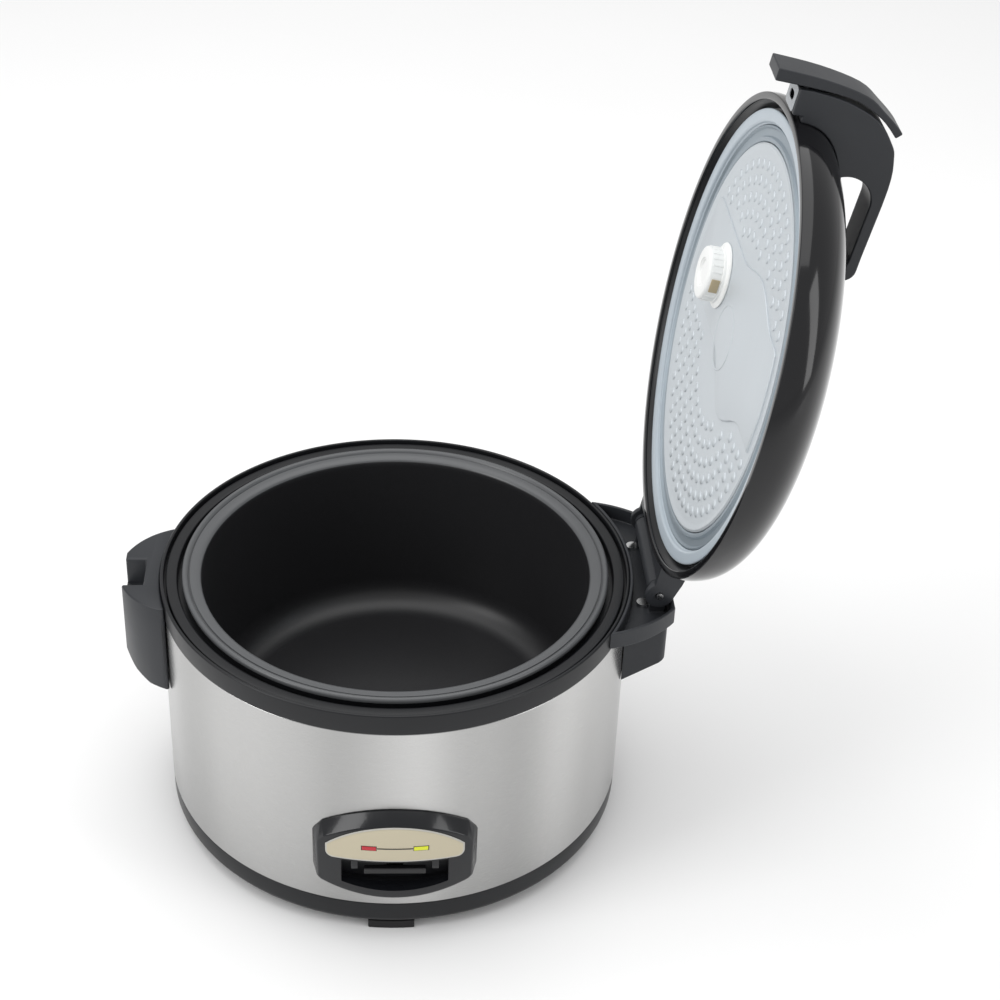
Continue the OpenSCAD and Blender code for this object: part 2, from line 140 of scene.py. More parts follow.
class Finish:
    """A material whose graph is built one node at a time."""

    def __init__(self, name, **constants):
        self.material = bpy.data.materials.new(name)
        self.material.use_nodes = True
        self.tree = self.material.node_tree
        self.shader = self.tree.nodes["Principled BSDF"]
        for socket, value in constants.items():
            self.shader.inputs[socket.replace("_", " ")].default_value = value

    def node(self, kind, settings=None, sockets=None, output=0):
        made = self.tree.nodes.new(kind)
        for key, value in (settings or {}).items():
            setattr(made, key, value)
        for key, value in (sockets or {}).items():
            self.feed(made.inputs[key], value)
        return Signal(self, made.outputs[output])

    def feed(self, socket, value):
        if isinstance(value, Signal):
            self.tree.links.new(value.socket, socket)
        else:
            socket.default_value = value

    def place(self, scale=(1, 1, 1)):
        where = self.node("ShaderNodeTexCoord", output="Object")
        return self.node("ShaderNodeMapping", None, {"Vector": where, "Scale": scale})

    def noise(self, size, detail, scale=(1, 1, 1)):
        return self.node("ShaderNodeTexNoise", None,
                         {"Vector": self.place(scale), "Scale": 1 / (size * MM), "Detail": detail})

    def mix(self, factor, first, second):
        return self.node("ShaderNodeMix", {"data_type": "RGBA"},
                         {0: factor, 6: first, 7: second}, output=2)

    def span(self, signal, low, high):
        return signal * (high - low) + low

    def bump(self, height, strength, depth):
        normal = self.node("ShaderNodeBump", None,
                           {"Strength": strength, "Distance": depth * MM, "Height": height})
        self.feed(self.shader.inputs["Normal"], normal)

    def sets(self, socket, value):
        self.feed(self.shader.inputs[socket], value)


def tint(r, g, b):
    return (r, g, b, 1)


def shade(colour, factor):
    """A colour made darker or paler by a factor."""
    return tint(*[c * factor for c in colour])


# %% [markdown]
# ## Finishes
# Moulded plastic is never one flat colour: it has a fine spark-eroded grain, and its
# gloss drifts a little where hands have polished it. The gloss black of the dome has a
# clear skin with faint moulding waves.

# %% Plastics and rubber
def moulded(name, colour, rough, grain=0.9, depth=0.05):
    finish = Finish(name, Specular_IOR_Level=0.32)
    drift = finish.noise(60, 2)
    finish.sets("Base Color", finish.mix(drift, shade(colour, 0.86), shade(colour, 1.14)))
    finish.sets("Roughness", finish.span(finish.noise(25, 3), rough - 0.06, rough + 0.06))
    finish.bump(finish.noise(grain, 2), 0.25, depth)
    return finish.material


def gloss(name, colour, rough):
    finish = Finish(name, Coat_Weight=0.25, Coat_Roughness=0.05, Specular_IOR_Level=0.3)
    finish.sets("Base Color", finish.mix(finish.noise(80, 2), tint(*colour), shade(colour, 1.3)))
    finish.sets("Roughness", finish.span(finish.noise(18, 4), rough - 0.03, rough + 0.05))
    finish.bump(finish.noise(30, 1), 0.06, 0.25)
    return finish.material


black_plastic = moulded("black_plastic", (0.009, 0.0095, 0.011), 0.34)
grey_plastic = moulded("grey_plastic", (0.026, 0.028, 0.032), 0.38)
gloss_black = gloss("gloss_black", (0.007, 0.007, 0.008), 0.1)
gloss_panel = gloss("gloss_panel", (0.006, 0.0065, 0.008), 0.16)
foot_rubber = moulded("foot_rubber", (0.012, 0.012, 0.013), 0.6, 1.4, 0.08)
valve_white = moulded("valve_white", (0.84, 0.85, 0.84), 0.36)
red_lens = gloss("red_lens", (0.42, 0.018, 0.03), 0.12)
green_lens = gloss("green_lens", (0.58, 0.62, 0.03), 0.12)
print("plastics, rubber and lamp lenses mixed")

# %% [markdown]
# The drum is satin stainless steel, rolled from sheet. Its grain runs round the drum, so the fine
# noise is squeezed along the height and left long on the other two axes. A second, broad noise
# hardly changes with height. It paints upright light and dark bands into the steel's colour:
# painted reflections that stand in for what the studio would mirror. The plain metals leave these
# painted reflections out.

# %% Metals
UPRIGHT_PAINTED_REFLECTIONS = (1, 1, 0.02)


def brushed(name, colour, rough, squeeze=(6, 6, 260), strength=0.12, painted_bands=0.0):
    finish = Finish(name, Metallic=1.0)
    grain = finish.noise(40, 4, squeeze)
    # Painted reflection: a broad noise, stretched upright, makes the steel's colour lighter and
    # darker in bands.
    painted_reflection = finish.noise(110, 1, UPRIGHT_PAINTED_REFLECTIONS) * 2 - 0.5
    finish.sets("Base Color", finish.mix(grain * 0.2 + painted_reflection * 0.8, shade(colour, 1 - painted_bands),
                                         shade(colour, 1 + painted_bands)))
    finish.sets("Roughness", finish.span(grain, rough - 0.04, rough + 0.06))
    finish.bump(grain, strength, 0.02)
    return finish.material


# The drum's colour carries the painted reflection bands.
drum_steel = brushed("drum_steel", (0.50, 0.498, 0.492), 0.25, painted_bands=0.42)
bright_steel = brushed("bright_steel", (0.75, 0.75, 0.75), 0.14, (30, 30, 30), 0.05)
cast_aluminium = brushed("cast_aluminium", (0.60, 0.61, 0.62), 0.42, (8, 8, 8), 0.2)
element_steel = brushed("element_steel", (0.19, 0.18, 0.17), 0.5, (10, 10, 10), 0.2)
brass = brushed("brass", (0.72, 0.55, 0.26), 0.2, (20, 20, 20), 0.06)
label_metal = brushed("label_metal", (0.55, 0.50, 0.38), 0.42, (3, 3, 300), 0.06)
mica = moulded("mica", (0.42, 0.35, 0.23), 0.7, 3, 0.2)
ceramic = gloss("ceramic", (0.80, 0.79, 0.75), 0.2)
label_edge = moulded("label_edge", (0.50, 0.49, 0.45), 0.35)
print("metals, mica and ceramic mixed")

# %% [markdown]
# The pot wears a charcoal non-stick coat that stops at the mouth: past that radius the
# flange is bare grey anodised metal. One mask on the distance from the axis does both.
# The lid's plate is pressed aluminium, dulled by steam, and its gasket is pale silicone.

# %% Pot, lid plate and gasket finishes
def pot_finish():
    finish = Finish("pot_coating", Specular_IOR_Level=0.5)
    where = finish.node("ShaderNodeTexCoord", output="Object")
    flat = finish.node("ShaderNodeVectorMath", {"operation": "MULTIPLY"},
                       {0: where, 1: (1, 1, 0)})
    reach = finish.node("ShaderNodeVectorMath", {"operation": "LENGTH"}, {0: flat}, 1)
    flange = reach > (POT_R + 0.2) * MM
    speck = finish.noise(1.1, 2)
    coat = finish.mix(speck, tint(0.010, 0.010, 0.011), tint(0.022, 0.022, 0.024))
    finish.sets("Base Color", finish.mix(flange, coat, tint(0.085, 0.088, 0.092)))
    finish.sets("Roughness", finish.span(flange, 0.36, 0.30) + speck * 0.05)
    finish.bump(speck, 0.15, 0.04)
    return finish.material


def pressed_aluminium(name, colour, rough):
    finish = Finish(name, Metallic=0.35, Specular_IOR_Level=0.5)
    cloud = finish.noise(45, 3)
    finish.sets("Base Color", finish.mix(cloud, shade(colour, 0.95), tint(*colour)))
    finish.sets("Roughness", finish.span(cloud, rough - 0.05, rough + 0.08))
    finish.bump(finish.noise(0.8, 2), 0.1, 0.03)
    return finish.material


def silicone(name, colour):
    finish = Finish(name, Specular_IOR_Level=0.5)
    finish.sets("Base Color", finish.mix(finish.noise(30, 2), shade(colour, 0.94), tint(*colour)))
    finish.sets("Roughness", finish.span(finish.noise(12, 3), 0.28, 0.4))
    finish.bump(finish.noise(2, 2), 0.08, 0.05)
    return finish.material


pot_coating = pot_finish()
lid_plate_metal = pressed_aluminium("lid_plate_metal", (0.58, 0.62, 0.65), 0.46)
channel_metal = pressed_aluminium("channel_metal", (0.30, 0.35, 0.39), 0.42)
gasket_rubber = silicone("gasket_rubber", (0.44, 0.50, 0.55))
latch_metal = pressed_aluminium("latch_metal", (0.42, 0.44, 0.46), 0.4)
print(len(bpy.data.materials), "materials so far")

# %% [markdown]
# ## Making pieces
# Every piece ends the same way: millimetres become metres, the mesh gets a smooth
# shade that breaks at real corners, and the piece is tied to its body, its finish and
# the plain CAD node that it stands for. Round parts are spun from a cross-section, and
# flat ones are an outline that is raised and then rounded along its edges.

# %% The workshop
SHARP = radians(32)
CORNER = radians(28)
UPRIGHT = Matrix.Rotation(pi / 2, 4, "X")
FINE, FAIR = 256, 224


def finish_piece(bm, name, body, material, nodes=(), place=Matrix(), weighted=False):
    """Turns a drawing into an object that rides on its body and hides its CAD nodes."""
    bmesh.ops.remove_doubles(bm, verts=bm.verts, dist=1e-4)
    bmesh.ops.recalc_face_normals(bm, faces=bm.faces)
    bmesh.ops.transform(bm, matrix=Matrix.Scale(MM, 4) @ place, verts=bm.verts)
    for face in bm.faces:
        face.smooth = True
    for edge in bm.edges:
        if len(edge.link_faces) == 2:
            edge.smooth = edge.calc_face_angle(0) < SHARP
    mesh = bpy.data.meshes.new(name)
    bm.to_mesh(mesh)
    bm.free()
    piece = bpy.data.objects.new(name, mesh)
    bpy.context.scene.collection.objects.link(piece)
    mesh.materials.append(material)
    if weighted:
        modifier = piece.modifiers.new("weighted", "WEIGHTED_NORMAL")
        modifier.keep_sharp = True
    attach(piece, body)
    if nodes:
        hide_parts(*nodes)
    return piece


def turned(profile, steps=192, closed=True, centre=(0, 0)):
    """Spins a cross-section of (radius, height) points round a vertical axis."""
    bm = bmesh.new()
    cx, cy = centre
    verts = [bm.verts.new((cx + r, cy, z)) for r, z in profile]
    pairs = list(zip(verts, verts[1:] + verts[:1]))
    edges = [bm.edges.new(pair) for pair in (pairs if closed else pairs[:-1])]
    bmesh.ops.spin(bm, geom=verts + edges, cent=(cx, cy, 0), axis=(0, 0, 1),
                   angle=2 * pi, steps=steps, use_merge=True)
    return bm


def arc(cx, cz, r, start, end, n=8):
    """Points of an arc between two angles in degrees."""
    return [(cx + r * cos(radians(start + (end - start) * i / n)),
             cz + r * sin(radians(start + (end - start) * i / n))) for i in range(n + 1)]


def extruded(outline, depth, place=Matrix(), bevel=0.0, segments=3):
    """A slab: an outline of (x, y) points, raised by its depth, with rounded edges."""
    bm = bmesh.new()
    face = bm.faces.new([bm.verts.new((x, y, 0)) for x, y in outline])
    raised = bmesh.ops.extrude_face_region(bm, geom=[face])["geom"]
    lifted = [v for v in raised if isinstance(v, bmesh.types.BMVert)]
    bmesh.ops.translate(bm, vec=(0, 0, depth), verts=lifted)
    if bevel:
        round_edges(bm, bevel, segments)
    bmesh.ops.transform(bm, matrix=place, verts=bm.verts)
    return bm


def oblong(x0, x1, y0, y1):
    return [(x0, y0), (x1, y0), (x1, y1), (x0, y1)]


def slab_of(x0, x1, y0, y1, z0, z1):
    return extruded(oblong(x0, x1, y0, y1), z1 - z0, Matrix.Translation((0, 0, z0)))


def round_edges(bm, width, segments=3, sharp_at=None):
    """Rounds every corner edge, apart from those in a level plane that must stay sharp."""
    bmesh.ops.recalc_face_normals(bm, faces=bm.faces)
    corners = [e for e in bm.edges if len(e.link_faces) == 2 and e.calc_face_angle(0) > CORNER
               and (sharp_at is None or any(abs(v.co.z - sharp_at) > 0.01 for v in e.verts))]
    bmesh.ops.bevel(bm, geom=corners, offset=width, offset_type="OFFSET", segments=segments,
                    profile=0.5, affect="EDGES", clamp_overlap=False, material=-1)


def softened(node, body, material, width):
    """A rounded copy of a CAD node, merged and cleaned first, that stands for the node."""
    bm = bmesh.new()
    bm.from_mesh(frame["nodes"][node].data)
    bmesh.ops.transform(bm, matrix=Matrix.Scale(1 / MM, 4), verts=bm.verts)
    bmesh.ops.remove_doubles(bm, verts=bm.verts, dist=1e-3)
    bmesh.ops.dissolve_limit(bm, angle_limit=radians(0.6), verts=bm.verts, edges=bm.edges)
    round_edges(bm, width)
    finish_piece(bm, node + "_piece", body, material, [node], weighted=True)


def join_meshes(parts):
    """One bmesh from several, each freed as it is copied in."""
    whole = bmesh.new()
    for part in parts:
        mesh = bpy.data.meshes.new("part")
        part.to_mesh(mesh)
        part.free()
        whole.from_mesh(mesh)
        bpy.data.meshes.remove(mesh)
    return whole


def carve(piece, cutter_bm, place):
    """Cuts a closed shape out of a piece and throws the cutter away."""
    bmesh.ops.recalc_face_normals(cutter_bm, faces=cutter_bm.faces)
    bmesh.ops.transform(cutter_bm, matrix=Matrix.Scale(MM, 4) @ place, verts=cutter_bm.verts)
    mesh = bpy.data.meshes.new("cutter")
    cutter_bm.to_mesh(mesh)
    cutter_bm.free()
    cutter = bpy.data.objects.new("cutter", mesh)
    bpy.context.scene.collection.objects.link(cutter)
    modifier = piece.modifiers.new("cut", "BOOLEAN")
    modifier.operation, modifier.solver, modifier.object = "DIFFERENCE", "EXACT", cutter
    bpy.context.view_layer.update()
    cut = piece.evaluated_get(bpy.context.evaluated_depsgraph_get())
    shaped = bpy.data.meshes.new_from_object(cut)
    piece.modifiers.remove(modifier)
    piece.data = shaped
    bpy.data.objects.remove(cutter)


# %% [markdown]
# ## The drum
# The steel sheet is rolled under at both edges, which catches a thin line of light. Its
# windows for the switch pocket and the power inlet are cut later, with the control panel.
# The base band below and the rim above are black mouldings, spun in the same way.

# %% Drum, base and rim
def make_drum():
    roll, inside = 1, DRUM_R - 1.0 - 0.6
    low, high = BASE_TOP + 0.4, DRUM_TOP - 0.1
    wall = (arc(DRUM_R - roll, low + roll, roll, -90, 0, 4)
            + arc(DRUM_R - roll, high - roll, roll, 0, 90, 4))
    bm = turned(wall + [(inside, high), (inside, low)], FINE)
    return finish_piece(bm, "drum", "housing", drum_steel, ["outer_shell"])


def make_base():
    r = DRUM_R - 0.4
    skirt = [(0, 8), (180, 8)] + arc(r - 7, 15.5, 7, -78, 0, 8)
    skirt += arc(r - 0.8, BASE_TOP - 0.8, 0.8, 0, 90, 3)
    inside = [(188.4, BASE_TOP), (188.4, 38), (185.8, 38), (185.8, 16), (182, 11), (0, 11)]
    bm = turned(skirt + inside, FINE, closed=False)
    finish_piece(bm, "base_band", "housing", black_plastic, ["base_pan"])


def make_rim():
    r = DRUM_R + 0.3
    outer = [(r, DRUM_TOP + 0.2)] + arc(r - 1.3, RIM_TOP - 1.3, 1.3, 0, 90, 4)
    groove = arc(188.4, RIM_TOP - 0.8, 0.8, 90, 180, 3) + [(187.6, 216.5), (185.9, 216.5)]
    shelf = arc(184.6, 220.2, 1.2, 0, 90, 4) + [(181, 221.6)] + arc(178.2, 219.6, 1.8, 90, 180, 4)
    moat = [(176.4, 214), (170, 214), (170, 220.2), (163.6, 220.2), (163.6, 210), (186, 210)]
    skirt = [(186, 198), (188.6, 198), (188.6, DRUM_TOP + 0.2)]
    bm = turned(outer + groove + shelf + moat + skirt, FINE)
    finish_piece(bm, "rim_ring", "housing", black_plastic, ["top_ring"])


drum = make_drum()
make_base()
make_rim()
print("drum, base band and rim ring turned")

# %% [markdown]
# ## The pot
# A deep-drawn pan: straight walls, a wide fillet to the floor and a flange that flares,
# dips in a fine groove and ends in a rolled bead.

# %% Pot
def make_pot():
    inner = POT_R - 0.4
    outer = inner + 2
    bottom = POT_FLOOR - 3
    profile = [(0, bottom)] + arc(outer - 28, bottom + 28, 28, -90, 0, 12)
    profile += [(outer, 220.9)] + arc(171.2, 222.3, 1.5, -70, 0, 4)
    profile += arc(170.5, 223.3, 2.2, 0, 140, 8)
    profile += [(167.9, 223.8), (167.5, 222.9), (167.0, 222.9), (166.6, 223.8), (165, 223.9)]
    profile += [(161, 223.1), (159, 222.3), (POT_R + 0.4, 221.2), (POT_R - 0.2, 219.5)]
    profile += [(inner, 216)] + arc(inner - 26, POT_FLOOR + 26, 26, 0, -90, 14)
    profile += [(110, POT_FLOOR), (0, POT_FLOOR + 0.4)]
    bm = turned(profile, FINE, closed=False)
    print("pot drawn with", len(bm.faces), "faces")
    finish_piece(bm, "cooking_pot", "pot", pot_coating, ["inner_pot"])


make_pot()

# %% [markdown]
# ## The lid's round parts
# The dome follows a superellipse: nearly upright at the rim, then flat across the crown.
# Under it lie the dark liner, a pale silicone gasket, its channel and the pressed plate.

# %% Dome and liner
def dome_curve(r, h, n=40):
    power = 2 / DOME_POWER
    return [(r * cos(pi / 2 * i / n) ** power, h * sin(pi / 2 * i / n) ** power)
            for i in range(n)] + [(0, h)]


def make_dome():
    outer = [p for p in dome_curve(DOME_R, DOME_H) if p[1] > 1.8]
    inner = [p for p in dome_curve(DOME_R - DOME_T, DOME_H - DOME_T) if p[1] > 3]
    lip = [(DOME_R - DOME_T, 2.2), (181.6, 2.2), (181.2, 1.8)] + arc(182.1, 0.9, 0.9, 180, 270, 4)
    lip += arc(186, 1, 1, -90, 0, 4)
    profile = inner[::-1] + lip + outer
    finish_piece(turned(profile, FINE, closed=False), "lid_dome", "lid", gloss_black,
                 ["lid_shell"], LID_OPEN)


def make_liner():
    profile = [(0, 12), (176.4, 12), (177.2, 11.4), (180.6, 3.4)]
    profile += arc(181.9, 3.2, 1.1, 180, 270, 4)
    profile += [(184, 2.3), (184, 3.4), (182.2, 3.6), (178.2, 14.5), (0, 14.5)]
    finish_piece(turned(profile, FAIR, closed=False), "lid_inner_wall", "lid", black_plastic,
                 ["lid_liner"], LID_OPEN)


def make_gasket():
    ring = [(163.9, 11.6), (163.9, 8.6)] + arc(167.5, 7.6, 2.6, 180, 270, 5) + [(172.5, 4.5)]
    ring += arc(174.4, 5.4, 1.0, -90, 60, 5) + [(171.5, 7.0), (170.4, 8.2), (170.4, 11.6)]
    finish_piece(turned(ring, FAIR), "lid_seal", "lid", gasket_rubber, ["lid_gasket"], LID_OPEN)
    channel = [(150.6, 11.7), (150.6, 8.8)] + arc(152, 8.8, 1.2, 180, 270, 3) + [(154.2, 7.6)]
    channel += [(155.4, 9.6), (160.8, 9.6), (162, 7.8)] + arc(162.6, 8.6, 0.8, -90, 0, 3)
    channel += [(163.4, 11.7)]
    finish_piece(turned(channel, FAIR), "seal_channel", "lid", channel_metal,
                 ["gasket_channel"], LID_OPEN)


make_dome()
make_liner()
make_gasket()
print("dome, liner, gasket and channel turned and swung open")

# %% [markdown]
# The pressed plate has rows of dimples in two opposite sectors. They let steam
# condense and drip evenly. Between them a smooth raised band with a waisted outline
# crosses the plate, with a faint ring at its middle. Each dimple is a flattened ball of
# few faces, half sunk in the plate, because there are so many of them.

# %% Pressed inner plate
PLATE_H = 8.4
BAND_H = 7.0
BAND_REACH = 139
BAND_ENDS = 138
BAND_STEP = 6
RING_R = 25
SWELL, SWELL_AT, SWELL_SPAN = 26, -45, 62
DIMPLE_R, DIMPLE_FLATTENED, DIMPLE_PITCH = 4.3, 0.36, 14.5
DIMPLE_RINGS = (68, 82, 96, 109, 122, 134.5)


def band_edge(y):
    """Where the smooth band ends at a given y: x on the latch side and the hinge side."""
    off = min(1, abs(y - SWELL_AT) / SWELL_SPAN)
    swell = SWELL * cos(pi * off) if off < 1 else -SWELL
    return -67 - 0.25 * swell, 28 + 0.5 * swell


def inside_plate(x, y):
    """Pulls a point of the band back to the round edge of the plate's flat part."""
    if hypot(x, y) <= BAND_REACH:
        return x, y
    return (BAND_REACH ** 2 - y ** 2) ** 0.5 * (1 if x > 0 else -1), y


def make_plate():
    disc = [(0, PLATE_H), (12, PLATE_H), (12.6, PLATE_H - 0.4), (13.4, PLATE_H - 0.4)]
    disc += [(14, PLATE_H), (143, PLATE_H), (145.5, PLATE_H - 0.8), (148.4, PLATE_H - 1.4)]
    disc += [(150, PLATE_H - 0.6), (150, PLATE_H + 1.2), (0, PLATE_H + 1.2)]
    plate = turned(disc, 192, closed=False)
    rows = range(-BAND_ENDS, BAND_ENDS + 1, BAND_STEP)
    outline = [inside_plate(band_edge(y)[1], y) for y in rows]
    outline += [inside_plate(band_edge(y)[0], y) for y in rows[::-1]]
    band = extruded(outline, PLATE_H - BAND_H + 0.6, Matrix.Translation((0, 0, BAND_H)))
    lower = [e for e in band.edges if all(abs(v.co.z - BAND_H) < 1e-4 for v in e.verts)]
    bmesh.ops.bevel(band, geom=lower, offset=1.0, offset_type="OFFSET", segments=3, profile=0.5,
                    affect="EDGES", clamp_overlap=True, material=-1)
    ring = turned([(RING_R - 0.8, BAND_H + 0.2), (RING_R, BAND_H - 0.35),
                   (RING_R + 0.8, BAND_H + 0.2)], 96)
    finish_piece(join_meshes([plate, band, ring]), "lid_plate", "lid", lid_plate_metal,
                 ["inner_lid_plate"], LID_OPEN)


def make_dimples():
    caps = []
    for ring, radius in enumerate(DIMPLE_RINGS):
        count = int(2 * pi * radius / DIMPLE_PITCH)
        for k in range(count):
            angle = 2 * pi * (k + 0.5 * (ring % 2)) / count
            x, y = radius * cos(angle), radius * sin(angle)
            low, high = band_edge(y)
            clear_of_valve = hypot(x - VALVE.x, y - VALVE.y) > VALVE_R + 9
            if (x > high + 6 or x < low - 8) and clear_of_valve:
                cap = bmesh.new()
                bmesh.ops.create_uvsphere(cap, u_segments=10, v_segments=6, radius=DIMPLE_R)
                bmesh.ops.scale(cap, vec=(1, 1, DIMPLE_FLATTENED), verts=cap.verts)
                bmesh.ops.translate(cap, vec=(x, y, PLATE_H), verts=cap.verts)
                caps.append(cap)
    print(len(caps), "dimples")
    finish_piece(join_meshes(caps), "plate_dimples", "lid", lid_plate_metal, (), LID_OPEN)


make_plate()
make_dimples()

# %% [markdown]
# ## The steam valve
# A white moulding that comes off for washing: a flange on the plate, a drum with ribs
# for grip, a rounded face with a sunk middle and a small brown port in its front side.
# The ribs are left out where the port is.

# %% Steam valve
RIBS, RIBS_AT_PORT = 24, (17, 18, 19)


def make_valve():
    r = VALVE_R
    centre = (VALVE.x, VALVE.y)
    body = [(0, -7.6), (9.5, -7.6), (10, -8.4), (11.2, -8.4), (11.8, -9.3), (14, -9.5)]
    body += arc(r - 2.5, -7, 2.5, -90, 0, 5) + [(r, 1.6), (r + 0.9, 2.2), (r + 0.9, 4)]
    body += [(r + 3, 5), (r + 4.4, 5.3)] + arc(r + 4.2, 6.1, 0.8, -90, 60, 3)
    body += [(r, 8.3), (0, 8.3)]
    shell = turned(body, 96, closed=False, centre=centre)
    middle = -2.6
    grips = []
    for k in [k for k in range(RIBS) if k not in RIBS_AT_PORT]:
        rib = bmesh.new()
        bmesh.ops.create_cube(rib, size=1)
        bmesh.ops.scale(rib, vec=(0.9, 1.6, 8), verts=rib.verts)
        turn = (Matrix.Rotation(2 * pi * k / RIBS, 4, "Z")
                @ Matrix.Translation((r + 0.1, 0, middle)))
        bmesh.ops.transform(rib, matrix=Matrix.Translation(VALVE) @ turn, verts=rib.verts)
        round_edges(rib, 0.25, 1)
        grips.append(rib)
    print("steam valve with", len(grips), "ribs")
    finish_piece(join_meshes([shell] + grips), "valve_drum", "lid", valve_white,
                 ["steam_valve"], LID_OPEN)
    port = extruded(oblong(-5.5, 5.5, -3.4, 3.4), 1.2, bevel=0.4)
    aim = (Matrix.Translation(VALVE + Vector((0, -r - 0.35, middle))) @ UPRIGHT
           @ Matrix.Translation((0, 0, -0.6)))
    bmesh.ops.transform(port, matrix=aim, verts=port.verts)
    finish_piece(port, "valve_port", "lid", mica, (), LID_OPEN)


make_valve()

# %% [markdown]
# ## Moulded handles, hinge and lever
# Their shapes are right in the working model but their edges are knife sharp. A merged
# copy gets its corners rounded, so that each edge catches light as a moulding's does.
# The number in each row is the width of that rounding in millimetres.

# %% Rounded mouldings
for node, body, material, width in (
        ("hinge_housing", "housing", grey_plastic, 0.9),
        ("lid_handle", "lid", grey_plastic, 1.3), ("release_lever", "release", grey_plastic, 1.1),
        ("hinge_arm", "lid", grey_plastic, 0.9), ("steam_cap", "lid", gloss_black, 0.5),
        ("cook_lever", "cook_switch", gloss_black, 0.9),
        ("power_inlet", "housing", black_plastic, 0.6),
        ("foot_front", "housing", foot_rubber, 1.0), ("foot_right", "housing", foot_rubber, 1.0),
        ("foot_back", "housing", foot_rubber, 1.0), ("foot_left", "housing", foot_rubber, 1.0),
        ("inlet_pins", "housing", brass, 0.3),
        ("cook_lamp", "housing", red_lens, 0.5), ("warm_lamp", "housing", green_lens, 0.5)):
    softened(node, body, material, width)
print("mouldings rounded")

# %% [markdown]
# The latch handle is a fuller shape: its plan is a circle with a flat cut across, its
# underside slopes up and out, and a notch in its face takes the lid's release lever. It
# is made as two stacked blocks, and only the upper one has the notch. A thin metal plate
# with a slot lies under the lid handle's outer foot and meets this handle when the lid
# is shut.

# %% Latch handle and the plate above it
GRIP_FACE = 220
GRIP_BOTTOM, GRIP_SEAM, GRIP_TOP = 136, 195, 218.5
GRIP_ROUND = 1.6
NOTCH_HALF, NOTCH_BACK = 17, 203


def handle_plan():
    """Plan of the handle at +X: a circle with a flat face, fitted to the drum behind."""
    cx, cy, r = 165, 4, 59.5
    rim = [(cx + r * cos(a * pi / 60), cy + r * sin(a * pi / 60)) for a in range(-40, 41)]
    rim = [p for p in rim if hypot(*p) > DRUM_R + 0.8 and p[0] < GRIP_FACE - 0.4]
    low = [p for p in rim if p[1] < cy]
    high = [p for p in rim if p[1] > cy]
    flat = (r ** 2 - (GRIP_FACE - cx) ** 2) ** 0.5
    ends = [atan2(p[1], p[0]) for p in (high[-1], low[0])]
    back = [ends[0] + (ends[1] - ends[0]) * i / 24 for i in range(25)]
    inner = [((DRUM_R + 0.5) * cos(a), (DRUM_R + 0.5) * sin(a)) for a in back]
    return low + [(GRIP_FACE, cy - flat), (GRIP_FACE, cy + flat)] + high + inner


def underside(x):
    """Height of the sloped underside at a distance from the drum's axis."""
    steps = [(180, 136.5), (200, 138), (212, 144.5), (221, 155.5)]
    for (x0, z0), (x1, z1) in zip(steps, steps[1:]):
        if x <= x1:
            return z0 + (z1 - z0) * (x - x0) / (x1 - x0)
    return steps[-1][1]


def make_latch_handle():
    plan = [(-x, y) for x, y in handle_plan()]
    corner = next(i for i, p in enumerate(plan) if p[0] == -GRIP_FACE) + 1
    notch = [(-GRIP_FACE, -NOTCH_HALF), (-NOTCH_BACK, -NOTCH_HALF),
             (-NOTCH_BACK, NOTCH_HALF), (-GRIP_FACE, NOTCH_HALF)]
    low = extruded(plan, GRIP_SEAM - GRIP_BOTTOM, Matrix.Translation((0, 0, GRIP_BOTTOM)))
    round_edges(low, GRIP_ROUND, sharp_at=GRIP_SEAM)
    for vert in low.verts:
        if vert.co.z < GRIP_BOTTOM + 6:
            vert.co.z += underside(-vert.co.x) - GRIP_BOTTOM
    high = extruded(plan[:corner] + notch + plan[corner:], GRIP_TOP - GRIP_SEAM,
                    Matrix.Translation((0, 0, GRIP_SEAM)))
    round_edges(high, GRIP_ROUND, sharp_at=GRIP_SEAM)
    finish_piece(join_meshes([low, high]), "latch_grip", "housing", grey_plastic,
                 ["latch_handle"])
    strike = extruded([(-205.5, 0), (-203.1, 0), (-203.1, 12)], 17,
                      Matrix.Translation((0, 8.5, 195.2)) @ UPRIGHT)
    finish_piece(strike, "latch_strike", "housing", drum_steel, ["latch_catch"])


def make_latch_plate():
    corners = [arc(cx, cy, 3, a, a + 90, 5) for cx, cy, a in
               ((-195, 9, 0), (-207.3, 9, 90), (-207.3, -9, 180), (-195, -9, 270))]
    plate = extruded([p for corner in corners for p in corner], 0.6,
                     Matrix.Translation((0, 0, -3.1)), 0.15, 1)
    piece = finish_piece(plate, "latch_plate", "lid", latch_metal, (), LID_OPEN)
    slot = arc(-201.2, 3, 3.2, 0, 180, 10) + arc(-201.2, -3, 3.2, 180, 360, 10)
    carve(piece, extruded(slot, 6, Matrix.Translation((0, 0, -6))), LID_OPEN)


make_latch_handle()
make_latch_plate()
print("latch handle with its notch, strike and slotted plate made")

# %% [markdown]
# ## The control panel
# Drawn flat, as (x across, z up), then wrapped round the drum. An inset gives the wide
# gloss bevel, and slices every few millimetres let the flat faces bend. The mouth of the
# switch pocket is cut through the panel and the drum, and a thin-walled pocket with two
# glossy posts fills the hole.

# %% Panel
SLICE = 4
POST_X = 31.3
INLET_WINDOW = (-15, 15, 170, 200, 58, 82)


def bezel_outline():
    """Arched top, curved bottom, upright sides and cut corners, as (x, z) points."""
    half = 67.5
    top = [(x, 24 + (107.5 ** 2 - x ** 2) ** 0.5) for x in range(-60, 61, 4)]
    bottom = [(x, 188.3 - (146.3 ** 2 - x ** 2) ** 0.5) for x in range(62, -63, -4)]
    return [(-half, 62), (-half, 103.5)] + top + [(half, 103.5), (half, 62)] + bottom


def wrap(bm):
    """Bends a flat piece drawn in x, z and depth y (negative outwards) round the drum."""
    for vert in bm.verts:
        angle = asin(vert.co.x / PANEL_R)
        reach = PANEL_R - vert.co.y
        vert.co = Vector((reach * sin(angle), -reach * cos(angle), vert.co.z))


